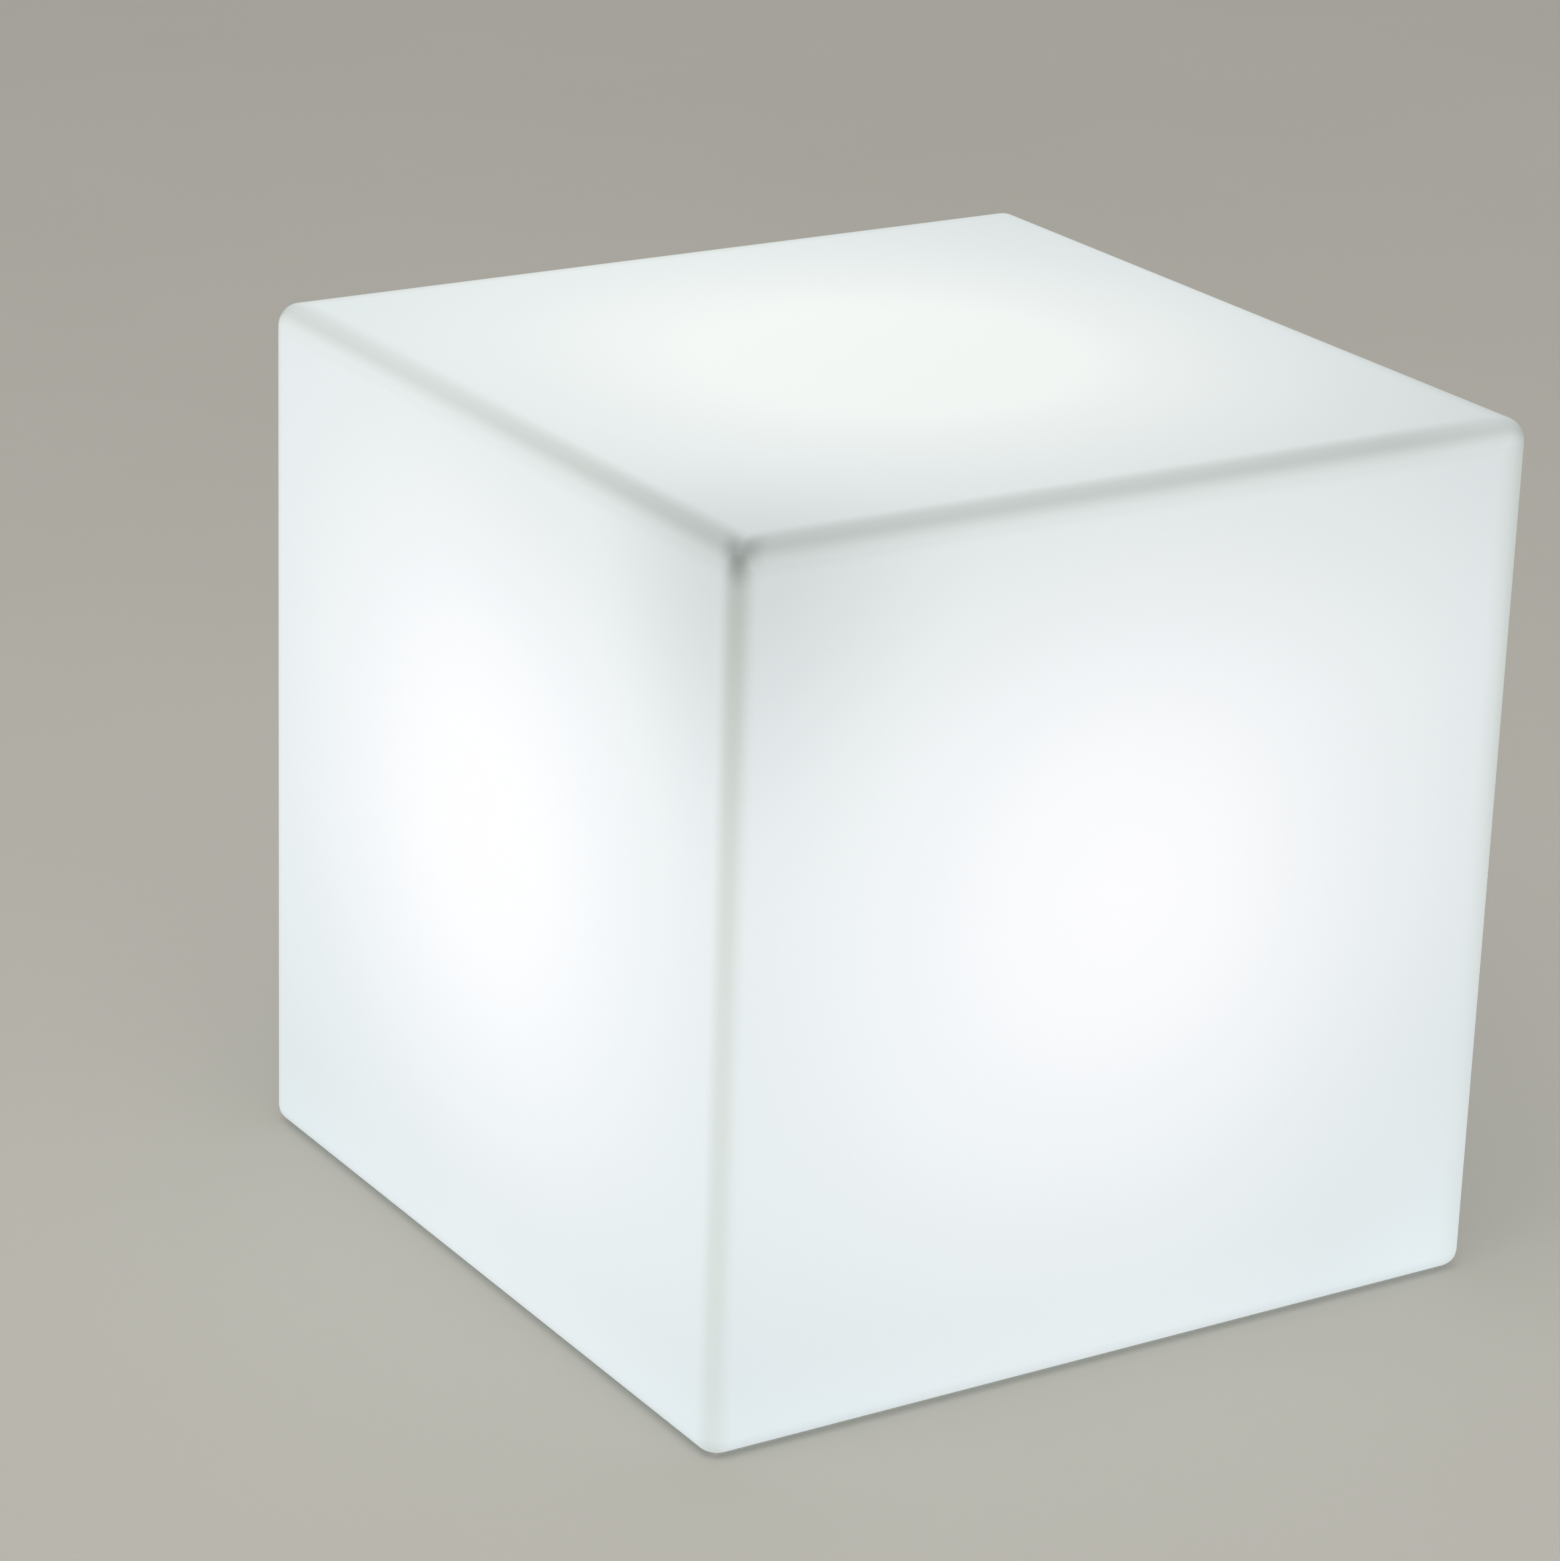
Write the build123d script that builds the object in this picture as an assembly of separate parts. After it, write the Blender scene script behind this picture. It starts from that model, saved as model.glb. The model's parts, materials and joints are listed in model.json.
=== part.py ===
from build123d import *
import os
from math import cos, hypot, radians, sin, tan

os.makedirs("parts", exist_ok=True)

# A glowing cube seat for gardens and terraces: a rotomoulded shell round a rechargeable light unit.
# Millimetres. The origin is under the middle of the cube, on the floor that its feet stand on; Z is up.
# Sizes that belong together are worked out from the inside of the light unit outwards.

# ---- The cube as it is seen ----
cube_width = 430.0  # across the flat sides, both ways
cube_height = 430.0  # from the floor to the top face
edge_radius = 11.0  # upright and top edges
base_edge_radius = 8.0  # edges round the underside
shell_wall = 4.0
corner_build_up = 7.0  # the moulding powder gathers in the edges, so they are rounder inside
foot_stand = 1.5  # the feet hold the shell this far off the floor

# ---- Recess in the underside ----
recess_depth = 32.0  # deep enough for the opened charging plug to stay off the floor
recess_draft = 4.0  # degrees, so that the moulding leaves its tool
recess_lip_radius = 5.0
recess_corner_radius = 3.0
seat_thickness = 5.0  # the ring that the base plate is screwed to
plate_gap = 4.0  # between the base plate and the recess wall

# ---- Feet ----
foot_count_a_side = 2
foot_inset = 45.0  # from the cube's side to a foot's centre
foot_radius = 13.0
foot_pocket_depth = 5.0
foot_fit = 0.2
foot_edge_radius = 1.0
foot_boss_radius = 7.0
foot_boss_height = 12.0
foot_head_sink = 1.2  # screw head above the foot's sole

# ---- Screws: shank radius, head radius, head height, hex key size across corners ----
shell_screw = (2.5, 4.6, 3.0, 1.9)
foot_screw = (2.0, 3.8, 2.4, 0.0)
case_screw = (1.5, 2.8, 2.0, 0.0)
small_screw = (1.25, 2.3, 1.6, 0.0)
screw_fit = 0.05  # round a shank, where its thread would bite
screw_passage = 0.4  # round a shank in a clearance hole
head_passage = 0.4  # round a head in its counterbore
key_depth = 1.8
foot_screw_bite = 9.0
case_screw_bite = 7.0
small_screw_bite = 5.0
ear_screw_bite = 3.0
pilot_spare = 1.0  # a pilot hole goes on this far past its screw
screw_edge_radius = 1.0

# ---- Threaded inserts in the shell ----
insert_count = 6
insert_radius = 4.6  # across the corners of its hexagon
insert_length = 11.0
insert_boss_radius = 9.0
insert_boss_cover = 3.0
insert_screw_bite = 9.0
insert_ring_gap = 5.5  # from the opening's edge to a boss
insert_collar = 1.5
insert_waist = 0.8

# ---- Base plate ----
plate_thickness = 4.0
plate_web = 2.6  # plastic under a screw head
screw_pad_radius = 8.0
screw_pad_depth = 2.0
plate_rim_width = 3.0
plate_rim_depth = 2.0
plate_edge_radius = 0.8
gasket_thickness = 2.0
gasket_margin = 2.0
gasket_width = 17.0
seal_wall_height = 10.5
seal_wall_thickness = 4.5
seal_width = 2.0
seal_depth = 1.6
case_boss_radius = 4.0
case_boss_overlap = 0.6
spigot_wall = 2.4
spigot_rise = 2.0  # the spigot stands over the housing's flange
spigot_fit = 0.8  # in the shell's opening
flange_fit = 0.4  # the housing's flange in the spigot
plate_rib_thickness = 1.6
spoke_width = 2.0  # ribs under the plate, one to each screw and one between each two

# ---- Battery ----
cell_count = 3
cell_radius = 9.1
cell_length = 65.0
cell_gap = 1.6
cell_row_y = 20.0
cell_fit = 0.2
bracket_wall = 2.0
bracket_floor = 3.0
bracket_grip = 5.0
bracket_ear_radius = 4.0
bracket_ear_reach = 2.5
strip_width = 7.0
strip_thickness = 0.3
strip_tab_width = 5.0
strip_tab_reach = 4.5  # the lower strip's tab stands out past its bracket for a lead
strap_height = 12.0
strap_thickness = 1.0
strap_gap = 0.1

# ---- Battery housing ----
housing_room = 8.8  # between the brackets and the housing's wall
housing_wall = 2.5
housing_roof = 3.0
housing_flange = 3.5
housing_rib_count = 6
housing_rib_depth = 3.0
housing_rib_thickness = 2.0
housing_edge_radius = 1.2

# ---- Control board ----
board_thickness = 1.6
board_gap = 9.0  # between the top bracket and the board
board_margin = 9.0  # between the board's edge and the housing's wall
board_headroom = 11.0
board_screw_count = 3
board_screw_inset = 5.0
board_boss_radius = 3.5
# length, depth, height and centre of each block on the board, then the same for what hangs under it
chips_above = (
    (12.0, 9.0, 2.4, -16.0, 8.0),
    (7.0, 7.0, 1.6, 14.0, 14.0),
    (5.0, 4.0, 1.4, 16.0, -2.0),
    (12.0, 6.0, 6.5, 0.0, -12.0),
)
coils_above = ((5.0, 5.5, -12.0, -10.0), (4.0, 8.5, 14.0, -14.0), (4.0, 8.5, 0.0, 16.0))
connectors_below = ((9.0, 6.0, 5.0, -18.0, -12.0), (9.0, 6.0, 5.0, 20.0, -12.0))

# ---- Lamp column ----
column_flat = 17.0  # from the middle to a flat side
column_sides = 6
column_bore_radius = 8.0
column_length = 170.0
fin_length = 6.0
fin_thickness = 2.0
column_screw_count = 3
column_screw_circle = 12.4
led_board_width = 14.0
led_board_end_gap = 4.0
leds_a_side = 5
led_size = 5.0
led_height = 1.6
top_board_radius = 16.0
top_led_count = 3
top_led_circle = 9.0

# ---- Frosted dome and its ring ----
dome_wall = 2.0
dome_flange_reach = 3.0
dome_flange_thickness = 3.0
dome_seal_thickness = 1.5
ring_screw_count = 6
ring_edge = 4.0  # from a ring screw to the ring's edge
ring_web = 1.5  # between the dome's flange and a ring screw
ring_thickness = 2.5
ring_fit = 0.3
ring_boss_radius = 3.2
ring_boss_height = 9.0

# ---- Lead grommet ----
grommet_hole_radius = 5.0
grommet_lip = 1.4
grommet_lip_thickness = 1.5
grommet_fit = 0.05

# ---- Leads ----
lead_radius = 0.9
lead_spacing = 4.4
lead_bend = 7.0
lead_fit = 0.2

# ---- Charging socket and its plug ----
port_x = -18.0
port_y = -26.0
well_radius = 7.4
well_depth = 3.0
socket_flange_radius = 6.9
socket_flange_thickness = 2.0
socket_flange_fit = 0.1
socket_panel = 2.5  # plastic that the socket's nut clamps
socket_barrel_radius = 5.5
socket_length = 15.5
socket_bore_radius = 2.85
socket_bore_depth = 10.0
socket_hole_fit = 0.1
pin_radius = 1.0
pin_recess = 1.0
port_boss_radius = 10.5
socket_nut_size = 7.6  # across corners, halved
socket_nut_height = 3.0
tag_width = 2.6
tag_thickness = 0.8
tag_length = 6.0
nut_fit = 0.05
plug_fit = 0.3  # round the stopper, under the head and over the socket
plug_taper = 0.5
plug_head_radius = 9.3
plug_head_thickness = 2.0
plug_tab_reach = 12.5
plug_tab_width = 8.0
tab_rib_count = 2
tab_rib_height = 0.6
tab_rib_width = 0.8
strap_width = 6.0
strap_depth = 1.6
hinge_distance = 13.0  # from the socket's axis to the fold line of the plug's strap
hinge_gap = 0.35
anchor_distance = 11.0  # from the fold line to the anchor
anchor_head_radius = 4.5
anchor_stem_radius = 2.2
anchor_stem_fit = 0.3
anchor_depth = 5.0
anchor_boss_radius = 5.5
anchor_cover = 1.5
anchor_barb = 0.25

# ---- Push button ----
switch_x = 20.0
switch_y = -26.0
switch_flange_radius = 10.5
switch_flange_thickness = 2.5
switch_barrel_radius = 8.0
switch_length = 16.0  # barrel above the flange
switch_hole_fit = 0.1
switch_seal_width = 1.2
switch_seal_depth = 1.0
switch_seal_gap = 0.5
switch_nut_size = 12.5  # across corners, halved
switch_nut_height = 3.0
button_radius = 5.2
button_fit = 0.08
button_travel = 1.5
button_proud = 1.0  # still below the flange when it is pressed
button_crown = 0.8
button_collar_reach = 1.2
button_collar_thickness = 2.0
button_rest_gap = 0.05
switch_ledge = 2.0
plunger_radius = 1.8
plunger_length = 4.0
plunger_spare = 2.45  # left over the plunger when it is pressed
spring_wire_radius = 0.3
spring_wire_sides = 8  # so thin a wire has flats instead of a round skin
spring_turns = 4
spring_gap = 0.4  # between the spring and the chamber's wall

# ---- Levels, from the floor up ----
shell_base_z = foot_stand
seat_z = shell_base_z + recess_depth
plate_top_z = seat_z - gasket_thickness
plate_base_z = plate_top_z - plate_thickness
pad_base_z = plate_base_z - screw_pad_depth
rib_base_z = plate_base_z - plate_rim_depth
screw_seat_z = plate_top_z - plate_web
flange_z = plate_top_z + seal_wall_height
cell_base_z = plate_top_z + bracket_floor
cell_top_z = cell_base_z + cell_length
board_z = cell_top_z + bracket_floor + board_gap
board_top_z = board_z + board_thickness
ceiling_z = board_top_z + board_headroom
housing_top_z = ceiling_z + housing_roof
column_top_z = housing_top_z + column_length
dome_base_z = housing_top_z + dome_seal_thickness

# ---- Radii, from the battery out ----
cell_pitch = 2 * cell_radius + cell_gap
half_row = cell_pitch * (cell_count - 1) / 2
bracket_radius = cell_radius + bracket_wall
housing_inner_radius = hypot(half_row, cell_row_y) + bracket_radius + housing_room
housing_outer_radius = housing_inner_radius + housing_wall
seal_wall_radius = housing_inner_radius + seal_wall_thickness
seal_radius = housing_inner_radius + seal_wall_thickness / 2
case_screw_circle = seal_wall_radius + case_boss_radius - case_boss_overlap
spigot_inner_radius = case_screw_circle + case_boss_radius - case_boss_overlap
spigot_radius = spigot_inner_radius + spigot_wall
opening_radius = spigot_radius + spigot_fit
insert_circle = opening_radius + insert_ring_gap + insert_boss_radius
plate_radius = insert_circle + screw_pad_radius + plate_edge_radius
seat_radius = plate_radius + plate_gap
mouth_radius = seat_radius + recess_depth * tan(radians(recess_draft))
ring_screw_circle = housing_outer_radius - ring_edge
dome_flange_radius = ring_screw_circle - small_screw[0] - screw_passage - ring_web
dome_radius = dome_flange_radius - dome_flange_reach
board_radius = housing_inner_radius - board_margin
board_screw_circle = board_radius - board_screw_inset

# ---- Places worked out from the above ----
foot_offset = cube_width / 2 - foot_inset
hinge_x = port_x - hinge_distance
anchor_x = hinge_x - anchor_distance
strap_top_z = plate_base_z - plug_fit
hinge_z = strap_top_z - strap_depth / 2
socket_face_z = plate_base_z + well_depth
panel_base_z = socket_face_z + socket_flange_thickness
panel_top_z = panel_base_z + socket_panel
switch_base_z = plate_base_z - switch_flange_thickness
ledge_z = switch_base_z + switch_ledge
collar_base_z = ledge_z + button_rest_gap
collar_top_z = collar_base_z + button_collar_thickness
plunger_top_z = collar_top_z + plunger_length
chamber_top_z = plunger_top_z + button_travel + plunger_spare
switch_top_z = plate_base_z + switch_length
chamber_radius = button_radius + button_collar_reach + button_fit
led_board_base_z = housing_top_z + led_board_end_gap
led_board_length = column_length - 2 * led_board_end_gap

UP = (Align.CENTER, Align.CENTER, Align.MIN)
MARGIN = 1.0  # how far a cutting shape runs past the faces that it cuts


# ---- Shapes used more than once ----
def post(radius, z0, z1, x=0.0, y=0.0):
    return Pos(x, y, z0) * Cylinder(radius, z1 - z0, align=UP)


def ring(outer, inner, z0, z1, x=0.0, y=0.0):
    return post(outer, z0, z1, x, y) - post(inner, z0 - MARGIN, z1 + MARGIN, x, y)


def block(x0, x1, y0, y1, z0, z1):
    centre = Pos((x0 + x1) / 2, (y0 + y1) / 2, z0)
    return centre * Box(x1 - x0, y1 - y0, z1 - z0, align=UP)


def prism(radius, sides, z0, z1, x=0.0, y=0.0):
    return Pos(x, y, z0) * extrude(RegularPolygon(radius, sides), z1 - z0)


def circle_spots(count, radius, first_angle=0.0):
    angles = [radians(first_angle + 360.0 * n / count) for n in range(count)]
    return [(radius * cos(a), radius * sin(a)) for a in angles]


def turned_copies(shape, count, first_angle=0.0):
    return [Rot(0, 0, first_angle + 360.0 * n / count) * shape for n in range(count)]


def screw(kind, length, z, x=0.0, y=0.0, up=True):
    """A screw whose head's underside is at z: it points up, or down."""
    shank_radius, head_radius, head_height, key_radius = kind
    body = post(head_radius, -head_height, 0.0)
    if key_radius:
        body = fillet(body.edges().group_by(Axis.Z)[0], screw_edge_radius)
        body -= prism(key_radius, 6, -head_height - MARGIN, key_depth - head_height)
    body += post(shank_radius, 0.0, length)
    turn = Rot(0, 0, 0) if up else Rot(180, 0, 0)
    return Pos(x, y, z) * turn * body


def hex_nut(corner_radius, bore_radius, z0, z1, x, y):
    return prism(corner_radius, 6, z0, z1, x, y) - post(bore_radius, z0 - MARGIN, z1 + MARGIN, x, y)


def lead(points):
    """A round wire along straight runs with arcs between them."""
    path = FilletPolyline(*points, radius=lead_bend)
    return sweep(Plane(origin=points[0], z_dir=path % 0) * Circle(lead_radius), path=path)


def row_outline(radius):
    """The outline round the row of cells, as wide as the radius asks on every side."""
    return Pos(0, cell_row_y) * SlotCenterToCenter(2 * half_row, 2 * radius)


def band(outline, z0, z1):
    return Pos(0, 0, z0) * extrude(outline, z1 - z0)


def cell_spots():
    return [(n * cell_pitch - half_row, cell_row_y) for n in range(cell_count)]


def save(node, shapes):
    shapes = shapes if isinstance(shapes, list) else [shapes]
    solids = [solid for shape in shapes for solid in shape.solids()]
    export_step(solids[0] if len(solids) == 1 else Compound(solids), f"parts/{node}.step")


# ---- Shell ----
def rounded_cube(width, z0, z1, radius, base_radius):
    """A block with one radius on its uprights and top, and another round its base."""
    body = Pos(0, 0, z0) * Box(width, width, z1 - z0, align=UP)
    body = fillet(body.edges().filter_by(Axis.Z) + body.edges().group_by(Axis.Z)[-1], radius)
    return fillet(body.faces().sort_by(Axis.Z)[0].edges(), base_radius)


def foot_spots():
    step = 2 * foot_offset / (foot_count_a_side - 1)
    row = [n * step - foot_offset for n in range(foot_count_a_side)]
    return [(x, y) for x in row for y in row]


def recess(outside, height, corner_radius):
    """The recess, or with a wall added outside it, the jacket that the shell wraps round it."""
    spread = height * tan(radians(recess_draft))
    base = mouth_radius + outside
    cone = Pos(0, 0, shell_base_z) * Cone(base, base - spread, height, align=UP)
    return fillet(cone.edges().group_by(Axis.Z)[-1], corner_radius)


def insert_blank(x, y):
    """The outside of a moulded-in insert: two hexagonal collars on a narrower hexagonal waist."""
    top_z = seat_z + insert_length
    body = prism(insert_radius - insert_waist, 6, seat_z, top_z, x, y)
    body += prism(insert_radius, 6, seat_z, seat_z + insert_collar, x, y)
    return body + prism(insert_radius, 6, top_z - insert_collar, top_z, x, y)


def shell_bosses():
    """What stands up inside the shell: an insert boss for each screw, and a pad and boss over each foot."""
    boss_top_z = seat_z + insert_length + insert_boss_cover
    pad_top_z = shell_base_z + foot_pocket_depth + shell_wall
    for x, y in circle_spots(insert_count, insert_circle):
        yield post(insert_boss_radius, shell_base_z, boss_top_z, x, y)
    for x, y in foot_spots():
        yield post(foot_radius + shell_wall, shell_base_z, pad_top_z, x, y)
        yield post(foot_boss_radius, shell_base_z, pad_top_z + foot_boss_height, x, y)


def cube_shell():
    outer = rounded_cube(cube_width, shell_base_z, cube_height, edge_radius, base_edge_radius)
    outer -= recess(0.0, recess_depth, recess_corner_radius)
    mouth = outer.edges().filter_by(GeomType.CIRCLE).sort_by(SortBy.RADIUS)[-1]
    outer = fillet(mouth, recess_lip_radius)
    inner_radius = edge_radius - shell_wall + corner_build_up
    inner_base_radius = base_edge_radius - shell_wall + corner_build_up
    inside = rounded_cube(
        cube_width - 2 * shell_wall,
        shell_base_z + shell_wall,
        cube_height - shell_wall,
        inner_radius,
        inner_base_radius,
    )
    inside -= recess(shell_wall, recess_depth + seat_thickness, recess_corner_radius + shell_wall)
    inside -= list(shell_bosses())
    body = outer - inside - post(opening_radius, seat_z - MARGIN, seat_z + seat_thickness + MARGIN)
    body -= [insert_blank(x, y) for x, y in circle_spots(insert_count, insert_circle)]
    pocket_z = shell_base_z + foot_pocket_depth
    pilot_z = pocket_z + foot_screw_bite + pilot_spare
    for x, y in foot_spots():
        body -= post(foot_radius + foot_fit, shell_base_z - MARGIN, pocket_z, x, y)
        body -= post(foot_screw[0] + screw_fit, shell_base_z, pilot_z, x, y)
    return body


def threaded_inserts():
    bore = shell_screw[0] + screw_fit
    bore_top_z = seat_z + insert_screw_bite + pilot_spare
    spots = circle_spots(insert_count, insert_circle)
    return [insert_blank(x, y) - post(bore, seat_z - MARGIN, bore_top_z, x, y) for x, y in spots]


def foot(x, y):
    sole_z = 0.0
    head_z = sole_z + foot_head_sink + foot_screw[2]
    body = post(foot_radius, sole_z, shell_base_z + foot_pocket_depth, x, y)
    body = fillet(body.edges().group_by(Axis.Z)[0], foot_edge_radius)
    body -= post(foot_screw[1] + head_passage, sole_z - MARGIN, head_z, x, y)
    top_z = shell_base_z + foot_pocket_depth + MARGIN
    return body - post(foot_screw[0] + screw_passage, sole_z, top_z, x, y)


def foot_screws():
    head_z = foot_head_sink + foot_screw[2]
    length = shell_base_z + foot_pocket_depth - head_z + foot_screw_bite
    return [screw(foot_screw, length, head_z, x, y) for x, y in foot_spots()]


# ---- Base plate and what seals it ----
def case_screw_spots():
    return circle_spots(insert_count, case_screw_circle, 180.0 / insert_count)


def bracket_ear_spots():
    reach = half_row + bracket_radius + bracket_ear_reach
    return [(side * reach, cell_row_y) for side in (-1, 1)]


def base_plate():
    body = post(plate_radius, plate_base_z, plate_top_z)
    body = fillet(body.edges().group_by(Axis.Z)[0], plate_edge_radius)
    rim = (plate_radius - plate_edge_radius, plate_radius - plate_edge_radius - plate_rim_width)
    body += ring(*rim, rib_base_z, plate_base_z + MARGIN)
    body += ring(spigot_radius, spigot_inner_radius, rib_base_z, plate_base_z + MARGIN)
    spoke = block(
        (spigot_inner_radius + spigot_radius) / 2,
        sum(rim) / 2,
        -spoke_width / 2,
        spoke_width / 2,
        rib_base_z,
        plate_base_z + MARGIN,
    )
    body += turned_copies(spoke, 2 * insert_count)
    body += ring(seal_wall_radius, housing_inner_radius, plate_base_z + MARGIN, flange_z)
    body += ring(spigot_radius, spigot_inner_radius, plate_base_z + MARGIN, flange_z + spigot_rise)
    for x, y in case_screw_spots():
        body += post(case_boss_radius, plate_base_z + MARGIN, flange_z, x, y)
    rib = block(
        seal_wall_radius - case_boss_overlap,
        spigot_inner_radius + case_boss_overlap,
        -plate_rib_thickness / 2,
        plate_rib_thickness / 2,
        plate_base_z + MARGIN,
        flange_z - seal_depth,
    )
    body += turned_copies(rib, insert_count)
    for x, y in circle_spots(insert_count, insert_circle):
        body += post(screw_pad_radius, pad_base_z, plate_base_z + MARGIN, x, y)
    body += post(port_boss_radius, plate_base_z + MARGIN, panel_top_z, port_x, port_y)
    anchor_top_z = plate_base_z + anchor_depth + anchor_cover
    body += post(anchor_boss_radius, plate_base_z + MARGIN, anchor_top_z, anchor_x, port_y)
    return body - plate_cuts()


def plate_cuts():
    """The holes, wells and grooves of the base plate."""
    half = seal_width / 2
    cuts = [ring(seal_radius + half, seal_radius - half, flange_z - seal_depth, flange_z + MARGIN)]
    head_hole = shell_screw[1] + head_passage
    for x, y in circle_spots(insert_count, insert_circle):
        cuts.append(post(head_hole, pad_base_z - MARGIN, screw_seat_z, x, y))
        cuts.append(post(shell_screw[0] + screw_passage, pad_base_z, plate_top_z + MARGIN, x, y))
    for x, y in case_screw_spots():
        pilot_z = flange_z - case_screw_bite - pilot_spare
        cuts.append(post(case_screw[0] + screw_fit, pilot_z, flange_z + MARGIN, x, y))
    for x, y in bracket_ear_spots():
        pilot_z = plate_top_z - ear_screw_bite
        cuts.append(post(small_screw[0] + screw_fit, pilot_z, plate_top_z + MARGIN, x, y))
    cuts.append(post(well_radius, plate_base_z - MARGIN, socket_face_z, port_x, port_y))
    cuts.append(post(socket_flange_radius + socket_flange_fit, socket_face_z, panel_base_z, port_x, port_y))
    barrel_hole = socket_barrel_radius + socket_hole_fit
    cuts.append(post(barrel_hole, panel_base_z, panel_top_z + MARGIN, port_x, port_y))
    anchor_hole = anchor_stem_radius + anchor_stem_fit
    cuts.append(post(anchor_hole, plate_base_z - MARGIN, plate_base_z + anchor_depth, anchor_x, port_y))
    switch_hole = switch_barrel_radius + switch_hole_fit
    cuts.append(post(switch_hole, plate_base_z - MARGIN, plate_top_z + MARGIN, switch_x, switch_y))
    return cuts


def base_gasket():
    inner = opening_radius + gasket_margin
    body = ring(inner + gasket_width, inner, plate_top_z, seat_z)
    hole = shell_screw[0] + screw_passage
    spots = circle_spots(insert_count, insert_circle)
    return body - [post(hole, plate_top_z - MARGIN, seat_z + MARGIN, x, y) for x, y in spots]


def base_screws():
    length = seat_z - screw_seat_z + insert_screw_bite
    spots = circle_spots(insert_count, insert_circle)
    return [screw(shell_screw, length, screw_seat_z, x, y) for x, y in spots]


# ---- Battery housing ----
def ring_screw_spots():
    return circle_spots(ring_screw_count, ring_screw_circle)


def column_screw_spots():
    return circle_spots(column_screw_count, column_screw_circle, 90.0)


def board_screw_spots():
    return circle_spots(board_screw_count, board_screw_circle, 30.0)


def battery_housing():
    body = post(housing_outer_radius, flange_z, housing_top_z)
    body = fillet(body.edges().group_by(Axis.Z)[-1], housing_edge_radius)
    body += post(spigot_inner_radius - flange_fit, flange_z, flange_z + housing_flange)
    rib = block(
        housing_outer_radius - housing_wall / 2,
        housing_outer_radius + housing_rib_depth,
        -housing_rib_thickness / 2,
        housing_rib_thickness / 2,
        flange_z + housing_flange / 2,
        ceiling_z,
    )
    body += turned_copies(rib, housing_rib_count)
    body -= post(housing_inner_radius, flange_z - MARGIN, ceiling_z)
    for x, y in ring_screw_spots():
        body += post(ring_boss_radius, ceiling_z - ring_boss_height, ceiling_z + MARGIN, x, y)
    for x, y in board_screw_spots():
        body += post(board_boss_radius, board_top_z, ceiling_z + MARGIN, x, y)
    return body - housing_cuts()


def housing_cuts():
    """The screw holes of the battery housing, and the hole for the lamp's leads."""
    cuts = [post(grommet_hole_radius, ceiling_z - MARGIN, housing_top_z + MARGIN)]
    for x, y in case_screw_spots():
        top_z = flange_z + housing_flange + MARGIN
        cuts.append(post(case_screw[0] + screw_passage, flange_z - MARGIN, top_z, x, y))
    for x, y in ring_screw_spots():
        pilot_z = housing_top_z - small_screw_bite - pilot_spare
        cuts.append(post(small_screw[0] + screw_fit, pilot_z, housing_top_z + MARGIN, x, y))
    for x, y in board_screw_spots():
        pilot_z = board_top_z + small_screw_bite + pilot_spare
        cuts.append(post(small_screw[0] + screw_fit, board_top_z - MARGIN, pilot_z, x, y))
    for x, y in column_screw_spots():
        cuts.append(post(small_screw[0] + screw_passage, ceiling_z - MARGIN, housing_top_z + MARGIN, x, y))
    return cuts


def housing_seal():
    half = seal_width / 2
    return ring(seal_radius + half, seal_radius - half, flange_z - seal_depth, flange_z)


def housing_screws():
    head_z = flange_z + housing_flange
    length = housing_flange + case_screw_bite
    return [screw(case_screw, length, head_z, x, y, up=False) for x, y in case_screw_spots()]


# ---- Battery ----
def battery_cells():
    return [post(cell_radius, cell_base_z, cell_top_z, x, y) for x, y in cell_spots()]


def strip_outline(reach):
    return Pos(0, cell_row_y) * SlotCenterToCenter(2 * half_row, strip_width + 2 * reach)


def cell_bracket(z0, z1, cell_z0, cell_z1):
    """A moulded end piece with a round seat for each cell and a slot for the strip that joins them."""
    body = band(row_outline(bracket_radius), z0, z1)
    seats = [post(cell_radius + cell_fit, cell_z0, cell_z1, x, y) for x, y in cell_spots()]
    return body - seats - band(strip_outline(cell_fit), z0 - MARGIN, z1 + MARGIN)


def strip_tab(widening, z0, z1):
    """The lower strip's tab, or with some widening, the way out for it through the bracket."""
    half = strip_tab_width / 2 + widening
    return block(-half, half, cell_row_y - bracket_radius - strip_tab_reach, cell_row_y, z0, z1)


def cell_brackets():
    lower = cell_bracket(plate_top_z, cell_base_z + bracket_grip, cell_base_z, cell_top_z)
    lower -= strip_tab(cell_fit, plate_top_z - MARGIN, cell_base_z)
    for x, y in bracket_ear_spots():
        side = 1 if x > 0 else -1
        inner_x = side * (half_row + cell_radius + bracket_wall / 2)
        lower += post(bracket_ear_radius, plate_top_z, cell_base_z, x, y)
        ends = (min(inner_x, x), max(inner_x, x), y - bracket_ear_radius, y + bracket_ear_radius)
        lower += block(*ends, plate_top_z, cell_base_z)
    for x, y in bracket_ear_spots():
        lower -= post(small_screw[0] + screw_passage, plate_top_z - MARGIN, cell_base_z + MARGIN, x, y)
    upper = cell_bracket(cell_top_z - bracket_grip, cell_top_z + bracket_floor, cell_base_z, cell_top_z)
    return [lower, upper]


def nickel_strips():
    levels = (cell_base_z - strip_thickness, cell_base_z)
    lower = band(strip_outline(0.0), *levels) + strip_tab(0.0, *levels)
    upper = band(strip_outline(0.0), cell_top_z, cell_top_z + strip_thickness)
    return [lower, upper]


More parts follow.
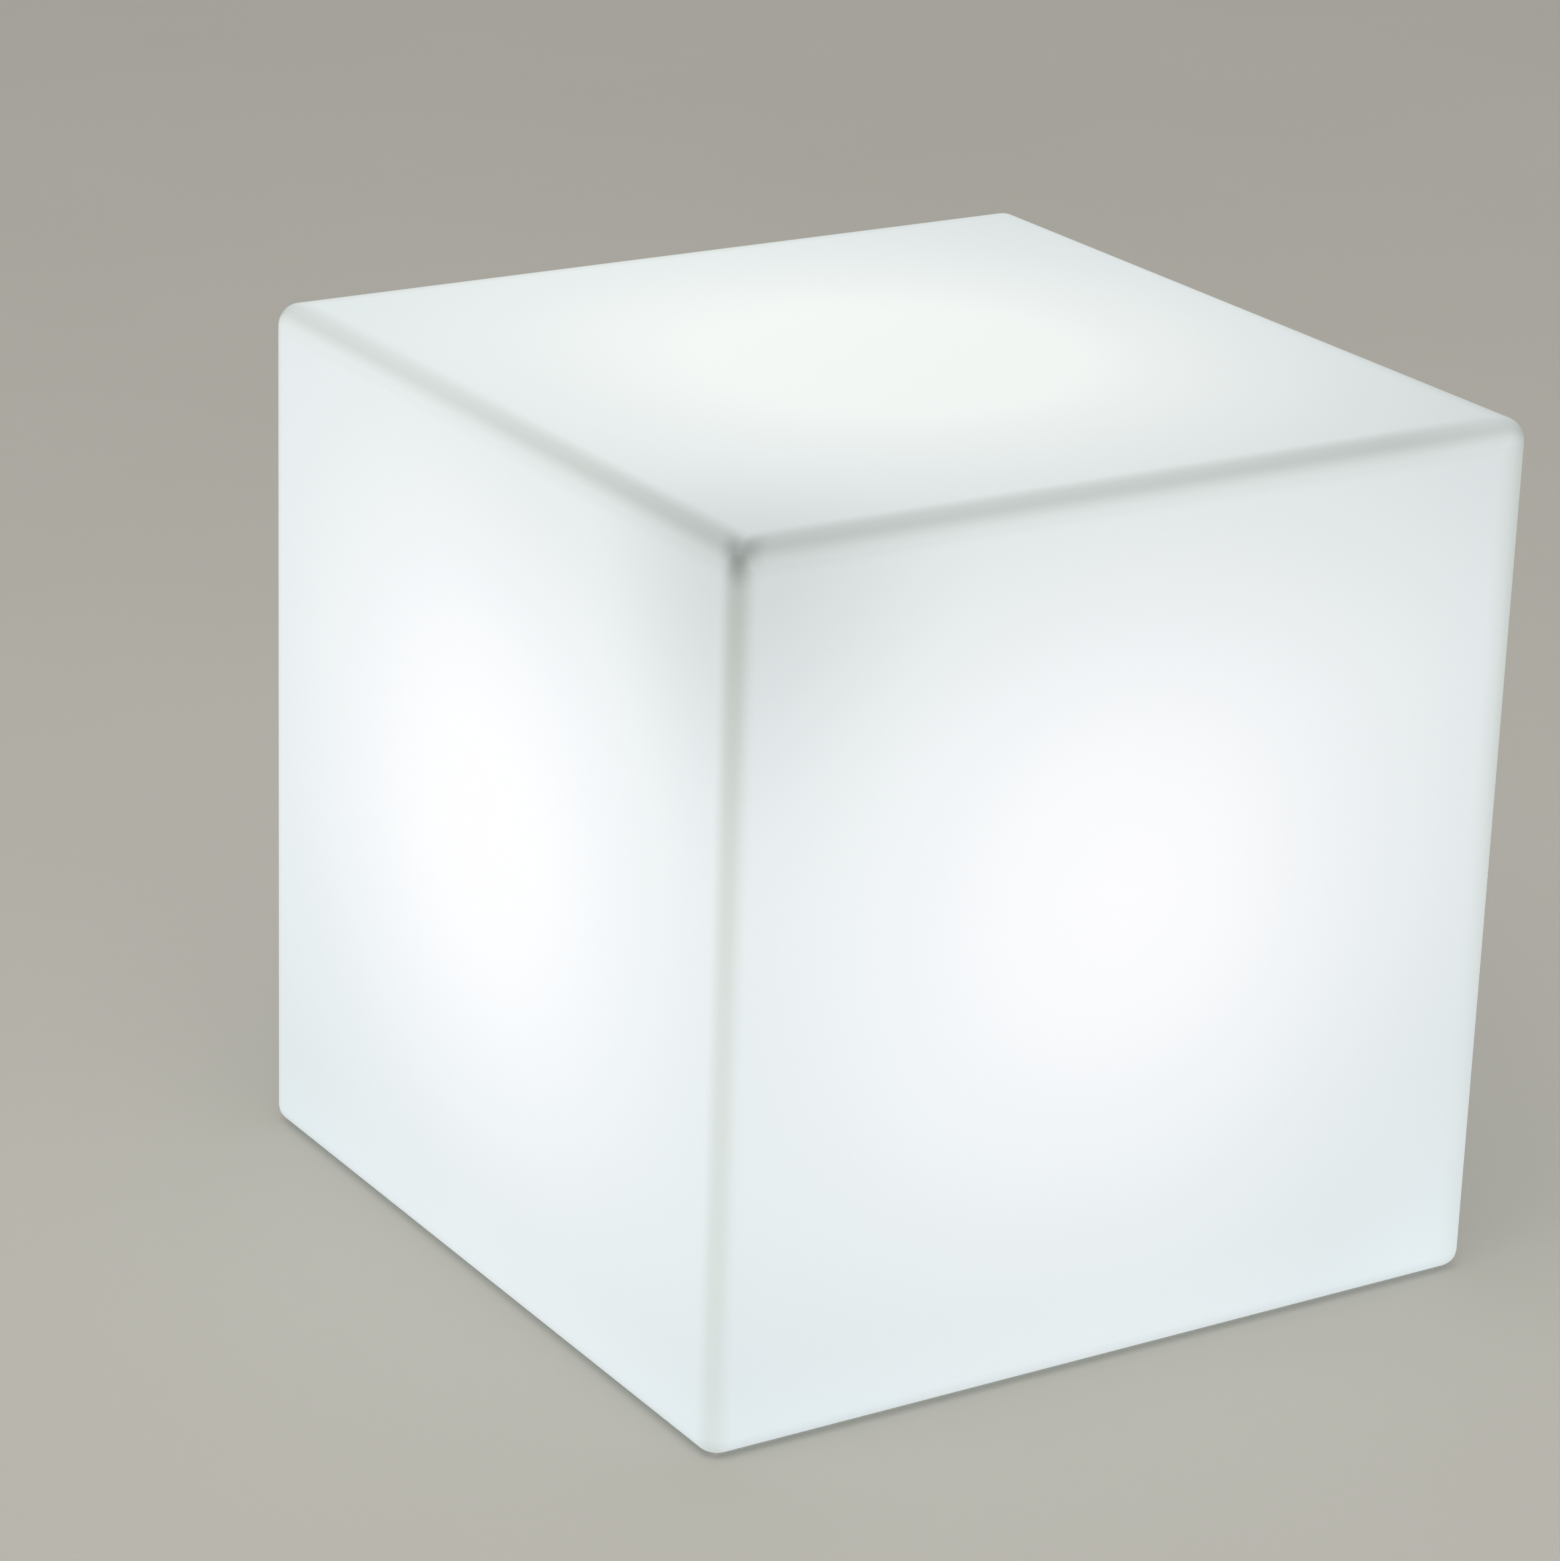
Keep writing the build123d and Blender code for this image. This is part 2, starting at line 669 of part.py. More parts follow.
def battery_strap():
    middle_z = (cell_base_z + cell_top_z) / 2
    z0 = middle_z - strap_height / 2
    z1 = middle_z + strap_height / 2
    inner = cell_radius + strap_gap
    outside = band(row_outline(inner + strap_thickness), z0, z1)
    return outside - band(row_outline(inner), z0 - MARGIN, z1 + MARGIN)


def battery_screws():
    length = cell_base_z - plate_top_z + ear_screw_bite
    return [screw(small_screw, length, cell_base_z, x, y, up=False) for x, y in bracket_ear_spots()]


# ---- Control board ----
def control_board():
    body = post(board_radius, board_z, board_top_z)
    hole = small_screw[0] + screw_passage
    return body - [post(hole, board_z - MARGIN, board_top_z + MARGIN, x, y) for x, y in board_screw_spots()]


def chip(size, z):
    length, depth, height, x, y = size
    return Pos(x, y, z) * Box(length, depth, height, align=UP)


def board_components():
    chips = [chip(size, board_top_z) for size in chips_above]
    coils = [post(radius, board_top_z, board_top_z + height, x, y) for radius, height, x, y in coils_above]
    return chips + coils + [chip(size, board_z - size[2]) for size in connectors_below]


def board_screws():
    length = board_thickness + small_screw_bite
    return [screw(small_screw, length, board_z, x, y) for x, y in board_screw_spots()]


# ---- Lamp column ----
def led_column():
    """An extruded six-sided tube with a cooling fin on each corner and three screw channels."""
    corner = column_flat / cos(radians(180.0 / column_sides))
    outline = RegularPolygon(corner, column_sides)
    fin = Pos(corner + fin_length / 2, 0) * Rectangle(fin_length + fin_thickness, fin_thickness)
    outline += [Rot(0, 0, 360.0 * n / column_sides) * fin for n in range(column_sides)]
    outline -= Circle(column_bore_radius)
    channel = Circle(small_screw[0] + screw_fit)
    outline -= [Pos(x, y) * channel for x, y in column_screw_spots()]
    return band(outline, housing_top_z, column_top_z)


def side_angles():
    return [360.0 * (n + 0.5) / column_sides for n in range(column_sides)]


def led_boards():
    z0 = led_board_base_z
    z1 = z0 + led_board_length
    half = led_board_width / 2
    board = block(column_flat, column_flat + board_thickness, -half, half, z0, z1)
    return [Rot(0, 0, angle) * board for angle in side_angles()]


def led_chips():
    """The white emitters: a row up each side board and a few on the board at the top."""
    x0 = column_flat + board_thickness
    step = led_board_length / leds_a_side
    half = led_size / 2
    chips = []
    for n in range(leds_a_side):
        middle_z = led_board_base_z + (n + 0.5) * step
        chip = block(x0, x0 + led_height, -half, half, middle_z - half, middle_z + half)
        chips += [Rot(0, 0, angle) * chip for angle in side_angles()]
    z0 = column_top_z + board_thickness
    for x, y in circle_spots(top_led_count, top_led_circle, -90.0):
        chips.append(block(x - half, x + half, y - half, y + half, z0, z0 + led_height))
    return chips


def led_top_board():
    body = post(top_board_radius, column_top_z, column_top_z + board_thickness)
    hole = small_screw[0] + screw_passage
    z1 = column_top_z + board_thickness + MARGIN
    return body - [post(hole, column_top_z - MARGIN, z1, x, y) for x, y in column_screw_spots()]


def column_screws():
    """Three screws hold the column to the housing's roof from inside, and three hold its top board."""
    rising = housing_roof + case_screw_bite
    falling = board_thickness + case_screw_bite
    top_z = column_top_z + board_thickness
    below = [screw(small_screw, rising, ceiling_z, x, y) for x, y in column_screw_spots()]
    above = [screw(small_screw, falling, top_z, x, y, up=False) for x, y in column_screw_spots()]
    return below + above


# ---- Dome, ring, seal and grommet ----
def diffuser_dome():
    inner = dome_radius - dome_wall
    flange_top = dome_flange_thickness
    straight = column_top_z - dome_base_z
    outline = Polyline(
        (inner, straight),
        (inner, 0),
        (dome_flange_radius, 0),
        (dome_flange_radius, flange_top),
        (dome_radius, flange_top),
        (dome_radius, straight),
    )
    outline += CenterArc((0, straight), dome_radius, 0, 90)
    outline += Line((0, straight + dome_radius), (0, straight + inner))
    outline += CenterArc((0, straight), inner, 0, 90)
    profile = make_face(Plane.XZ * outline)
    return Pos(0, 0, dome_base_z) * revolve(profile, Axis.Z)


def dome_seal():
    inner = dome_radius - dome_wall
    return ring(dome_flange_radius, inner, housing_top_z, dome_base_z)


def dome_ring():
    """A clamping ring: its skirt stands on the housing and its lip holds the dome's flange down."""
    lip_z = dome_base_z + dome_flange_thickness
    top_z = lip_z + ring_thickness
    body = post(housing_outer_radius, housing_top_z, top_z)
    body = fillet(body.edges().group_by(Axis.Z)[-1], housing_edge_radius)
    body -= post(dome_flange_radius + ring_fit, housing_top_z - MARGIN, lip_z)
    body -= post(dome_radius + ring_fit, lip_z - MARGIN, top_z + MARGIN)
    hole = small_screw[0] + screw_passage
    return body - [post(hole, housing_top_z - MARGIN, top_z + MARGIN, x, y) for x, y in ring_screw_spots()]


def ring_screws():
    top_z = dome_base_z + dome_flange_thickness + ring_thickness
    length = top_z - housing_top_z + small_screw_bite
    return [screw(small_screw, length, top_z, x, y, up=False) for x, y in ring_screw_spots()]


def lead_pair(x, y=0.0):
    """The two places, side by side, of a pair of leads."""
    return [(x - lead_spacing / 2, y), (x + lead_spacing / 2, y)]


def lead_grommet():
    lip_radius = grommet_hole_radius + grommet_lip
    body = post(grommet_hole_radius - grommet_fit, ceiling_z, housing_top_z)
    body += post(lip_radius, ceiling_z - grommet_lip_thickness, ceiling_z)
    body += post(lip_radius, housing_top_z, housing_top_z + grommet_lip_thickness)
    z0 = ceiling_z - grommet_lip_thickness - MARGIN
    z1 = housing_top_z + grommet_lip_thickness + MARGIN
    return body - [post(lead_radius + lead_fit, z0, z1, x, y) for x, y in lead_pair(0.0)]


# ---- Charging socket, its nut, pin and stopper ----
def charge_socket():
    body = post(socket_flange_radius, socket_face_z, panel_base_z, port_x, port_y)
    body += post(socket_barrel_radius, panel_base_z, panel_base_z + socket_length, port_x, port_y)
    bore_top_z = socket_face_z + socket_bore_depth
    body -= post(socket_bore_radius, socket_face_z - MARGIN, bore_top_z, port_x, port_y)
    return body + terminal_tags(port_x, port_y, panel_base_z + socket_length)


def terminal_tags(x, y, z):
    """Two flat solder tags that stand up behind a socket or switch."""
    half_width = tag_width / 2
    half_thickness = tag_thickness / 2
    for tag_x, tag_y in lead_pair(x, y):
        sides = (tag_x - half_thickness, tag_x + half_thickness, tag_y - half_width, tag_y + half_width)
        yield block(*sides, z, z + tag_length)


def socket_pin():
    z0 = socket_face_z + pin_recess
    body = post(pin_radius, z0, socket_face_z + socket_bore_depth, port_x, port_y)
    return fillet(body.edges().group_by(Axis.Z)[0], pin_radius / 2)


def socket_nut():
    bore = socket_barrel_radius + nut_fit
    return hex_nut(socket_nut_size, bore, panel_top_z, panel_top_z + socket_nut_height, port_x, port_y)


def charge_plug():
    """The soft stopper with its grip tab, and the strap up to its fold line."""
    head_base_z = strap_top_z - plug_head_thickness
    stopper_height = well_depth
    root_radius = well_radius - plug_fit
    stopper = Cone(root_radius, root_radius - plug_taper, stopper_height, align=UP)
    body = post(plug_head_radius, head_base_z, strap_top_z, port_x, port_y)
    half = plug_tab_width / 2
    tab = block(port_x, port_x + plug_tab_reach, port_y - half, port_y + half, head_base_z, strap_top_z)
    body += fillet(tab.edges().filter_by(Axis.Z).group_by(Axis.X)[-1], half / 2)
    body = fillet(body.faces().sort_by(Axis.Z)[0].outer_wire().edges(), tab_rib_height / 2)
    body += Pos(port_x, port_y, strap_top_z) * stopper
    rib_half = half - tab_rib_width
    for n in range(tab_rib_count):
        x = port_x + plug_tab_reach - (2 * n + 3) * tab_rib_width
        sides = (x, x + tab_rib_width, port_y - rib_half, port_y + rib_half)
        body += block(*sides, head_base_z - tab_rib_height, hinge_z)
    half = strap_width / 2
    strap_base_z = strap_top_z - strap_depth
    body += block(hinge_x, port_x - root_radius, port_y - half, port_y + half, strap_base_z, strap_top_z)
    return body + knuckle()


def knuckle():
    """The rounded end of the moving strap, on the fold line."""
    roll = Cylinder(strap_depth / 2, strap_width)
    return Pos(hinge_x, port_y, hinge_z) * Rot(90, 0, 0) * roll


def plug_anchor():
    """The fixed end of the strap: a mushroom whose stem is pushed into the base plate."""
    half = strap_width / 2
    strap_base_z = strap_top_z - strap_depth
    end_x = hinge_x - strap_depth / 2 - hinge_gap
    body = post(anchor_head_radius, strap_base_z, strap_top_z, anchor_x, port_y)
    body += block(anchor_x, end_x, port_y - half, port_y + half, strap_base_z, strap_top_z)
    tip_z = plate_base_z + anchor_depth - anchor_stem_fit
    body += post(anchor_stem_radius, strap_base_z, tip_z, anchor_x, port_y)
    barb_z = plate_base_z + anchor_depth / 2
    return body + post(anchor_stem_radius + anchor_barb, barb_z, barb_z + anchor_barb * 4, anchor_x, port_y)


# ---- Switch, its seal and nut, and the button and spring inside it ----
def switch_body():
    body = post(switch_flange_radius, switch_base_z, plate_base_z, switch_x, switch_y)
    body = fillet(body.edges().group_by(Axis.Z)[0], switch_flange_thickness / 3)
    body += post(switch_barrel_radius, plate_base_z, switch_top_z, switch_x, switch_y)
    body -= post(button_radius + button_fit, switch_base_z - MARGIN, chamber_top_z, switch_x, switch_y)
    body -= post(chamber_radius, ledge_z, chamber_top_z, switch_x, switch_y)
    outer, inner = switch_seal_radii()
    body -= ring(outer, inner, plate_base_z - switch_seal_depth, plate_base_z, switch_x, switch_y)
    return body + terminal_tags(switch_x, switch_y, switch_top_z)


def switch_seal_radii():
    inner = switch_barrel_radius + switch_seal_gap
    return inner + switch_seal_width, inner


def switch_seal():
    outer, inner = switch_seal_radii()
    return ring(outer, inner, plate_base_z - switch_seal_depth, plate_base_z, switch_x, switch_y)


def switch_nut():
    bore = switch_barrel_radius + nut_fit
    return hex_nut(switch_nut_size, bore, plate_top_z, plate_top_z + switch_nut_height, switch_x, switch_y)


def power_button():
    """A crowned cap with a collar that keeps it in the switch, and a plunger inside the spring."""
    tip_z = switch_base_z - button_travel - button_proud
    body = post(button_radius, tip_z, collar_top_z, switch_x, switch_y)
    body = fillet(body.edges().group_by(Axis.Z)[0], button_crown)
    body += post(button_radius + button_collar_reach, collar_base_z, collar_top_z, switch_x, switch_y)
    return body + post(plunger_radius, collar_top_z, plunger_top_z, switch_x, switch_y)


def button_spring():
    """A compression spring between the button's collar and the end of the chamber."""
    radius = chamber_radius - spring_gap - 2 * spring_wire_radius
    z0 = collar_top_z + spring_wire_radius
    height = chamber_top_z - spring_wire_radius - z0
    coil = Helix(height / spring_turns, height, radius)
    section = RegularPolygon(spring_wire_radius, spring_wire_sides)
    wire = Plane(origin=coil @ 0, z_dir=coil % 0) * section
    return Pos(switch_x, switch_y, z0) * sweep(wire, path=coil, is_frenet=True)


# ---- Leads inside the unit ----
def rising_pair(x, y, z0, shift):
    """Two leads that climb from their tags to the board, with one gentle step sideways."""
    z1 = board_z - connectors_below[0][2]
    bend_z = (z0 + z1) / 2
    half_bend = 2 * lead_bend
    for start_x, start_y in lead_pair(x, y):
        yield lead(
            [
                (start_x, start_y, z0),
                (start_x, start_y, bend_z - half_bend),
                (start_x + shift[0], start_y + shift[1], bend_z + half_bend),
                (start_x + shift[0], start_y + shift[1], z1),
            ]
        )


def charge_leads():
    z0 = panel_base_z + socket_length + tag_length
    _, _, _, end_x, end_y = connectors_below[0]
    return list(rising_pair(port_x, port_y, z0, (end_x - port_x, end_y - port_y)))


def switch_leads():
    z0 = switch_top_z + tag_length
    _, _, _, end_x, end_y = connectors_below[1]
    return list(rising_pair(switch_x, switch_y, z0, (end_x - switch_x, end_y - switch_y)))


def battery_leads():
    """A short lead rises from the upper strip to the board, and a long one from the lower strip's tab."""
    tab_end_y = cell_row_y - bracket_radius - strip_tab_reach
    short = post(lead_radius, cell_top_z + strip_thickness, board_z, 0.0, cell_row_y)
    return [short, post(lead_radius, cell_base_z, board_z, 0.0, tab_end_y + 1.5 * lead_radius)]


def led_leads():
    return [post(lead_radius, board_top_z, column_top_z, x, y) for x, y in lead_pair(0.0)]


save("cube_shell", cube_shell())
save("threaded_inserts", threaded_inserts())
save("rubber_feet", [foot(x, y) for x, y in foot_spots()])
save("foot_screws", foot_screws())
save("base_plate", base_plate())
save("base_gasket", base_gasket())
save("base_screws", base_screws())
save("battery_housing", battery_housing())
save("housing_seal", housing_seal())
save("housing_screws", housing_screws())
save("battery_cells", battery_cells())
save("cell_brackets", cell_brackets())
save("nickel_strips", nickel_strips())
save("battery_strap", battery_strap())
save("battery_screws", battery_screws())
save("battery_leads", battery_leads())
save("control_board", control_board())
save("board_components", board_components())
save("board_screws", board_screws())
save("led_column", led_column())
save("led_boards", led_boards())
save("led_chips", led_chips())
save("led_top_board", led_top_board())
save("column_screws", column_screws())
save("lead_grommet", lead_grommet())
save("led_leads", led_leads())
save("diffuser_dome", diffuser_dome())
save("dome_seal", dome_seal())
save("dome_ring", dome_ring())
save("ring_screws", ring_screws())
save("charge_socket", charge_socket())
save("socket_pin", socket_pin())
save("socket_nut", socket_nut())
save("charge_plug", charge_plug())
save("plug_anchor", plug_anchor())
save("charge_leads", charge_leads())
save("switch_body", switch_body())
save("switch_seal", switch_seal())
save("switch_nut", switch_nut())
save("power_button", power_button())
save("button_spring", button_spring())
save("switch_leads", switch_leads())
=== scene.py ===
import json
from math import pi, radians

import bmesh
import bpy
from mathutils import Matrix, Vector


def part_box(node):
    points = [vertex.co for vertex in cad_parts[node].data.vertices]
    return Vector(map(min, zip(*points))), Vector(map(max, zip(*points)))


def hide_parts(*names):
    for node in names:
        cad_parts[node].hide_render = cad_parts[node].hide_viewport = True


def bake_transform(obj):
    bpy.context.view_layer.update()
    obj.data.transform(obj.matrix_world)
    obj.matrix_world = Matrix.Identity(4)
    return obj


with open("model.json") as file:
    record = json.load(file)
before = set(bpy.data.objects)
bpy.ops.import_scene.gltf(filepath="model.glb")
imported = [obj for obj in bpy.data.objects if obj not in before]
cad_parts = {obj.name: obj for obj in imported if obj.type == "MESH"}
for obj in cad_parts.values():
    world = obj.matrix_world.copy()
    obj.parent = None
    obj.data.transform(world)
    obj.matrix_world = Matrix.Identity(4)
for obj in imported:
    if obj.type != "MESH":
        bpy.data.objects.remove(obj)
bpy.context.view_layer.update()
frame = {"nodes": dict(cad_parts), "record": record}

MM = 0.001


# ---- Measures read from the frame, in metres ----
def middle_of(node):
    low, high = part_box(node)
    return (low + high) / 2


_, shell_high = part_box("cube_shell")
half_width = shell_high.x
cube_middle_z = shell_high.z - half_width
_, column_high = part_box("led_column")
dome_low, dome_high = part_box("diffuser_dome")
lamp_z = (dome_low.z + dome_high.z) / 2
board_low, board_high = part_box("control_board")


# ---- Numbers and nodes in a material ----
class Term:
    """A number or colour that a node gives. Python's operators on numbers add Math nodes."""

    def __init__(self, tree, socket):
        self.tree = tree
        self.socket = socket

    def math(self, operation, *values):
        return self.tree.node("Math", {"operation": operation}, dict(enumerate(values)))

    def __add__(self, other):
        return self.math("ADD", self, other)

    __radd__ = __add__

    def __sub__(self, other):
        return self.math("SUBTRACT", self, other)

    def __rsub__(self, other):
        return self.math("SUBTRACT", other, self)

    def __mul__(self, other):
        return self.math("MULTIPLY", self, other)

    __rmul__ = __mul__

    def __truediv__(self, other):
        return self.math("DIVIDE", self, other)

    def __rtruediv__(self, other):
        return self.math("DIVIDE", other, self)

    def __mod__(self, other):
        return self.math("MODULO", self, other)

    def __pow__(self, other):
        return self.math("POWER", self, other)

    def __abs__(self):
        return self.math("ABSOLUTE", self)

    def least(self, other):
        return self.math("MINIMUM", self, other)

    def greatest(self, other):
        return self.math("MAXIMUM", self, other)

    def sine(self):
        return self.math("SINE", self)

    def cosine(self):
        return self.math("COSINE", self)

    def bearing(self, x):
        """The angle from the x axis of the direction that has this as its y."""
        return self.math("ARCTAN2", self, x)

    def over(self, other):
        """1 where this is the greater, and 0 elsewhere."""
        return self.math("GREATER_THAN", self, other)

    def rise(self, start, end):
        """0 up to start, 1 from end, and a smooth climb between them."""
        settings = {"interpolation_type": "SMOOTHSTEP"}
        return self.tree.node("MapRange", settings, {"Value": self, "From Min": start, "From Max": end})

    def fall(self, start, end):
        """1 up to start, 0 from end, and a smooth descent between them."""
        return 1 - self.rise(start, end)


def length(*sides):
    """How far apart two points are, from how far apart they are along each axis."""
    return sum(side * side for side in sides) ** 0.5


class Tree:
    """The nodes of a material or of the world."""

    def __init__(self, owner):
        owner.use_nodes = True
        self.nodes = owner.node_tree.nodes
        self.links = owner.node_tree.links

    def node(self, kind, settings=None, sockets=None, outputs=(0,)):
        """Adds a node, with its settings first, and gives each socket its value or link."""
        made = self.nodes.new("ShaderNode" + kind)
        for name, value in (settings or {}).items():
            setattr(made, name, value)
        for key, value in (sockets or {}).items():
            self.feed(made.inputs[key], value)
        terms = [Term(self, made.outputs[key]) for key in outputs]
        return terms[0] if len(terms) == 1 else terms

    def feed(self, socket, value):
        if isinstance(value, Term):
            self.links.new(value.socket, socket)
        else:
            socket.default_value = value


# The Mix node has a socket of each name for every type, so the ones for colours go by number
MIX_FACTOR = 0
MIX_FIRST = 6
MIX_SECOND = 7
MIX_RESULT = 2


def opaque(colour):
    """The colour of a node as it is, and a written one with full opacity."""
    return colour if isinstance(colour, Term) else (*colour, 1.0)


class Finish(Tree):
    """A material in the making: one shader and the nodes that feed it."""

    def __init__(self, name, **constants):
        self.material = bpy.data.materials.new(name)
        super().__init__(self.material)
        self.shader = self.nodes["Principled BSDF"]
        self.wears(**constants)
        self.place = self.node("TexCoord", outputs=("Object",))

    def wears(self, **surface):
        """Gives the shader's sockets, such as base_color or roughness, their values or links."""
        for label, value in surface.items():
            socket = label.replace("_", " ").title().replace("Ior", "IOR")
            self.feed(self.shader.inputs[socket], value)

    def relief(self, height):
        """Raises the surface by a height that is given in millimetres."""
        self.wears(normal=self.node("Bump", sockets={"Strength": 1.0, "Distance": MM, "Height": height}))

    def sides(self):
        """The x, y and z of a point on the object, in metres."""
        return self.node("SeparateXYZ", sockets={"Vector": self.place}, outputs=("X", "Y", "Z"))

    def spokes(self, count, first):
        """How far out a point is, and its angle from the nearest of some evenly spread directions."""
        x, y, _ = self.sides()
        step = 2 * pi / count
        turned = y.bearing(x) + (2 * pi + step / 2 - first)
        return length(x, y), turned % step - step / 2

    def scaled_place(self, size, stretch):
        scale = [1.0 / (size * s) for s in stretch]
        return self.node("Mapping", sockets={"Vector": self.place, "Scale": scale})

    def noise(self, size, detail, stretch=(1.0, 1.0, 1.0)):
        """Noise from 0 to 1 with patches of about this size, and longer where stretch is over 1."""
        place = self.scaled_place(size, stretch)
        return self.node("TexNoise", sockets={"Vector": place, "Scale": 1.0, "Detail": detail})

    def cells(self, size):
        """How far the nearest of some scattered points is, in cell sizes."""
        place = self.scaled_place(size, (1.0, 1.0, 1.0))
        return self.node("TexVoronoi", sockets={"Vector": place, "Scale": 1.0})

    def between(self, factor, first, second):
        """The first colour where the factor is 0, and the second where it is 1."""
        sockets = {MIX_FACTOR: factor, MIX_FIRST: opaque(first), MIX_SECOND: opaque(second)}
        return self.node("Mix", {"data_type": "RGBA"}, sockets, outputs=(MIX_RESULT,))

    def dimmed(self, colour, factor):
        """A colour times a number."""
        return self.node("VectorMath", {"operation": "SCALE"}, {"Vector": colour, "Scale": factor})


# ---- The shell: thick, milky plastic with a lamp inside it, and its glow and shade painted in ----
# the front left top corner, round which the painted shade on the shell is deepest
SHADED_CORNER = Vector((-half_width, -half_width, shell_high.z))
CORNER_REACH = 130 * MM
# the painted shade round that corner reaches further down than sideways
CORNER_DROOP = 0.75
CLOUD_SIZE = 160 * MM
FINE_GRAIN = 1.4 * MM
PEEL_SIZE = 5 * MM
MILKY_WHITE = (0.522, 0.558, 0.570)
# the base colour within the painted shade along the edges, a little greener
SHADED_EDGE_WHITE = (0.520, 0.562, 0.550)
# tints of the painted glow: at the foot, at the head, in front of the lamp, on the top, over the lamp,
# and within the painted shade along the edges
FOOT_TINT = (0.86, 1.0, 1.06)
HEAD_TINT = (0.905, 1.0, 1.02)
LAMP_TINT = (1.03, 1.0, 1.045)
TOP_TINT = (0.90, 1.0, 1.0)
TOP_LAMP_TINT = (0.99, 1.0, 0.93)
SHADED_EDGE_TINT = (0.92, 1.0, 0.93)
# the glow is held at this, so that the brightest spots only just reach white
MOST_GLOW = 0.617


def upright_painted_shade(x, y, z, off_upright, past_rim):
    """Painted shade along the uprights: deeper towards the top, and wider on the front right one."""
    front_right = x.over(0.0) * (1 - y.over(0.0))
    usual_depth = 0.10 + 0.04 * z.rise(0.0, 0.15) + 0.16 * (z / shell_high.z) ** 3.0
    front_right_depth = 0.06 + 0.12 * z.rise(0.08, 0.30)
    depth = usual_depth * (1 - front_right) + front_right_depth * front_right
    reach = 13 * MM + 8 * MM * front_right
    return depth * off_upright.fall(1 * MM, reach) * past_rim.fall(-3 * MM, 7 * MM)


def upper_edge_painted_shade(x, y, past_rim, upper):
    """Painted shade along the upper edges: deepest in front, and fading towards the back and the right
    end.
    """
    left = x.fall(-0.21, -0.19)
    back = y.rise(-0.22, 0.12)
    right_end = x.rise(0.13, 0.215)
    depth = 0.22 + 0.02 * left - 0.10 * back - 0.11 * right_end
    return depth * past_rim.rise(-17 * MM, 2 * MM) * past_rim.fall(5 * MM, 18 * MM) * upper


def corner_painted_shade(off_upright, past_rim, upper, from_corner):
    """Painted shade in the upper corners, where three walls meet: deepest round the front left one."""
    depth = 0.07 + 0.165 * from_corner.fall(0.05, 0.25)
    around_upright = off_upright.fall(2 * MM, 16 * MM)
    around_rim = past_rim.rise(-20 * MM, -3 * MM) * past_rim.fall(0.0, 14 * MM)
    return depth * around_upright * around_rim * upper


def side_glow(x, y, z, lit):
    """Painted glow on the sides: brightest in front of the lamp, brighter at the foot, and dimmer to the
    right and high in front.
    """
    high_in_front = z.rise(0.30, shell_high.z) * y.fall(-0.1, 0.2)
    foot = z.fall(0.0, 0.05)
    right_foot = x.rise(0.12, 0.20) * z.fall(0.0, 0.12)
    rightward = x * z.rise(-0.02, 0.16)
    brighter = 0.22 * lit + 0.03 * foot + 0.035 * right_foot
    dimmer = 0.045 * high_in_front + 0.10 * rightward
    return 0.394 + brighter - dimmer


def top_glow(x, y, lit):
    """Painted glow on the top: brightest over the lamp, and brighter towards the back."""
    return 0.068 + 0.325 * lit**0.5 - 0.06 * x + 0.215 * y


